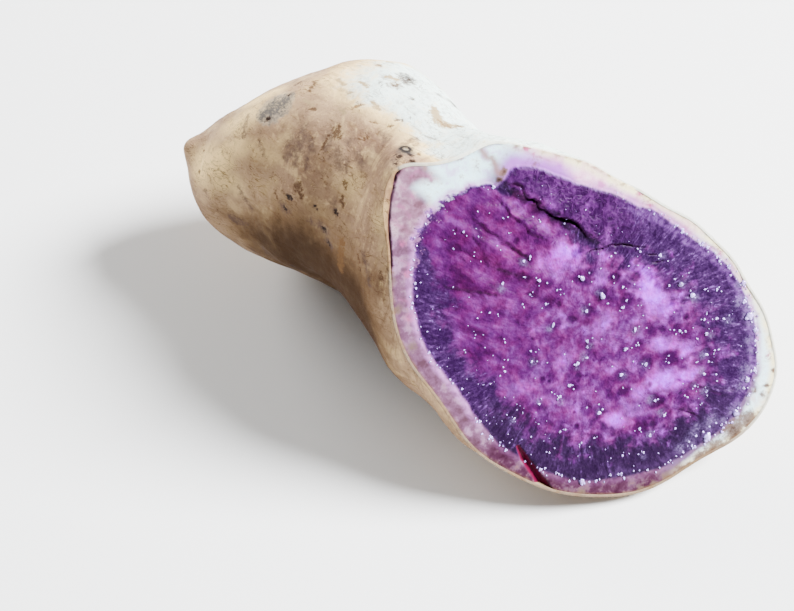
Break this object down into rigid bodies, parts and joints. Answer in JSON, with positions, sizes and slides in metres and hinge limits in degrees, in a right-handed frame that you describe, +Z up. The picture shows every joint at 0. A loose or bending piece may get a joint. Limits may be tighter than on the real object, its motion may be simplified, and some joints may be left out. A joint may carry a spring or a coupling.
{
  "type": "half of a purple yam (white-skinned, purple-fleshed sweet potato), cut at a slant",
  "caption": "Half of a pale-skinned purple-fleshed tuber, one slanting cut face, lying on its side.",
  "frame": {"origin": "bottom centre of the part's box, on the surface it lies on", "axes": "+Z up as it lies, +X along its length towards the cut end, -Y the front, which the cut face is turned to"},
  "size_m": [0.1312, 0.0609, 0.0602],
  "materials": {
    "skin": "dry thin cream-tan skin with grey scurf spots and fine growth lines",
    "flesh": "moist purple flesh with a dark outer ring, lilac patches and a cream bark",
    "latex": "wet white beads of latex"
  },
  "bodies": {
    "root": {"yam_half": "skin"}
  },
  "joints": []
}
